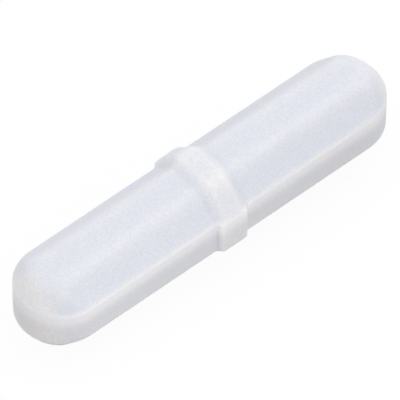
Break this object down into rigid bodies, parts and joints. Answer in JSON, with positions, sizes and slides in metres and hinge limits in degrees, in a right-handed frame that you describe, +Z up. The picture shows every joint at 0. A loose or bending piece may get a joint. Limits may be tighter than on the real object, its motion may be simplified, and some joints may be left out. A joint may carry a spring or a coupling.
{
  "type": "magnetic stir bar",
  "caption": "Octagonal magnetic stirring bar with a pivot ring at its middle: a rod magnet sealed in a white PTFE jacket with domed ends.",
  "frame": {"origin": "middle of the pivot ring's underside, the point that the bar spins on", "axes": "+X along the bar, +Y across it, +Z up along the axis that it spins about"},
  "size_m": [0.0386, 0.009, 0.0093],
  "materials": {
    "ptfe": "waxy white sintered PTFE",
    "alnico": "ground cast Alnico rod, dull grey"
  },
  "bodies": {
    "root": {"jacket": "ptfe", "magnet": "alnico"}
  },
  "joints": []
}
